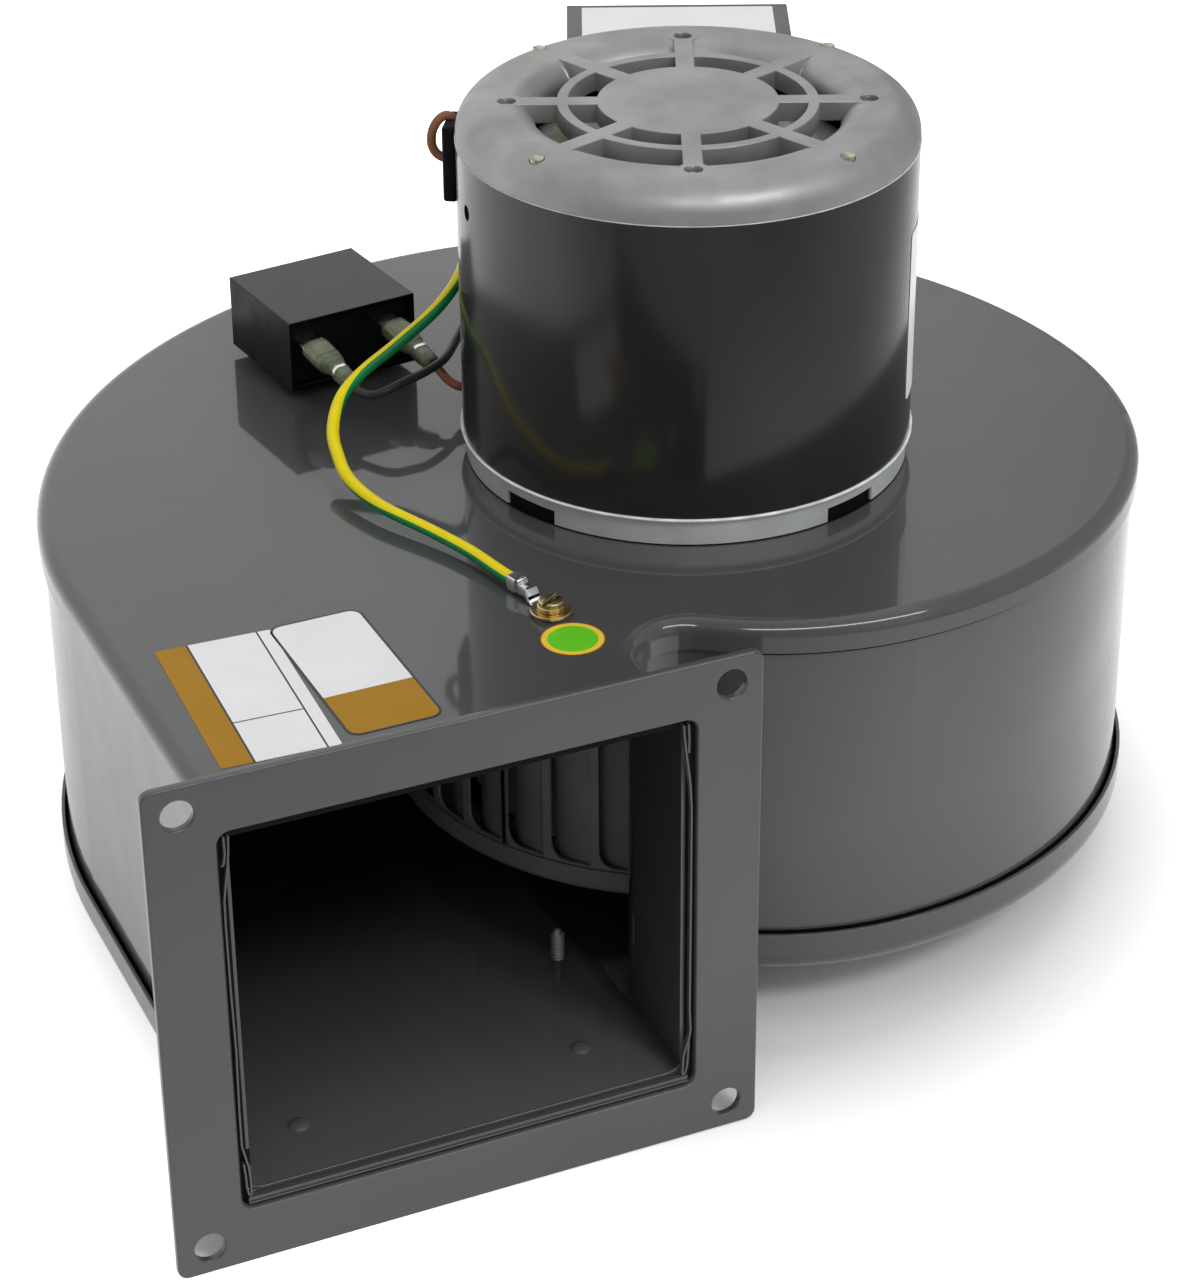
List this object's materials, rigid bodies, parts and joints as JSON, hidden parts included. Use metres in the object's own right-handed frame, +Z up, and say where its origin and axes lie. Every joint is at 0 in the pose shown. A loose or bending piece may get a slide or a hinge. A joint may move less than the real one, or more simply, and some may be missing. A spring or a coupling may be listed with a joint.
{
  "type": "centrifugal blower",
  "caption": "Scroll blower with a square bolted outlet flange, a squirrel-cage wheel, and an upright motor with capacitor, leads and junction box on its deck",
  "frame": {"origin": "on the fan axis at the lower end of the straight inlet throat", "axes": "+Z up the motor shaft, air leaves along -Y through the outlet flange, +X to the right as seen from the outlet"},
  "size_m": [0.3413, 0.2986, 0.2348],
  "materials": {
    "housing_paint": "gloss dark grey paint on drawn sheet steel",
    "shell_paint": "gloss near-black paint",
    "box_paint": "satin dark grey paint",
    "cast_aluminium": "bare die casting",
    "wheel_steel": "dark coated sheet, satin gloss",
    "core_steel": "ground or stamped steel",
    "bright_steel": "bright zinc or tin plate",
    "yellow_zinc": "yellow zinc plate",
    "bearing_bronze": "sintered bronze",
    "varnished_copper": "varnished winding",
    "black_rubber": "matt",
    "black_plastic": "moulded, satin",
    "potting": "cast resin",
    "olive_nylon": "translucent nylon",
    "ground_insulation": "yellow and green",
    "grey_insulation": "satin",
    "brown_insulation": "satin"
  },
  "bodies": {
    "housing": {"deck_panel": "housing_paint", "floor_panel": "housing_paint", "scroll_wrap": "housing_paint", "outlet_flange": "housing_paint", "floor_screw": "yellow_zinc", "floor_rivets": "bright_steel", "lower_end_bell": "cast_aluminium", "motor_shell": "shell_paint", "upper_end_bell": "cast_aluminium", "stator_core": "core_steel", "stator_windings": "varnished_copper", "lower_bearing": "bearing_bronze", "upper_bearing": "bearing_bronze", "through_bolts": "yellow_zinc", "grille_studs": "bright_steel", "motor_screws": "bright_steel", "junction_box": "box_paint", "junction_box_cover": "box_paint", "cover_screws": "bright_steel", "lead_grommet": "black_rubber", "lead_bushing": "black_rubber", "capacitor_case": "black_plastic", "capacitor_potting": "potting", "capacitor_tabs": "bright_steel", "capacitor_screw": "bright_steel", "push_on_sleeves": "olive_nylon", "ground_screw": "yellow_zinc", "ground_washer": "yellow_zinc", "ring_terminal": "bright_steel", "ground_lead": "ground_insulation", "grey_lead": "grey_insulation", "brown_lead": "brown_insulation", "loop_lead": "brown_insulation"},
    "rotor": {"shaft": "core_steel", "rotor_core": "core_steel", "rotor_cage": "cast_aluminium", "thrust_washers": "black_plastic", "wheel_hub": "wheel_steel", "hub_set_screw": "core_steel", "hub_rivets": "bright_steel", "wheel_back_plate": "wheel_steel", "wheel_blades": "wheel_steel", "wheel_inlet_ring": "wheel_steel"}
  },
  "joints": [
    {"name": "rotor_spin", "type": "hinge", "parent": "housing", "child": "rotor", "pos_m": [0, 0, 0], "axis": [0, 0, 1], "continuous": true}
  ]
}
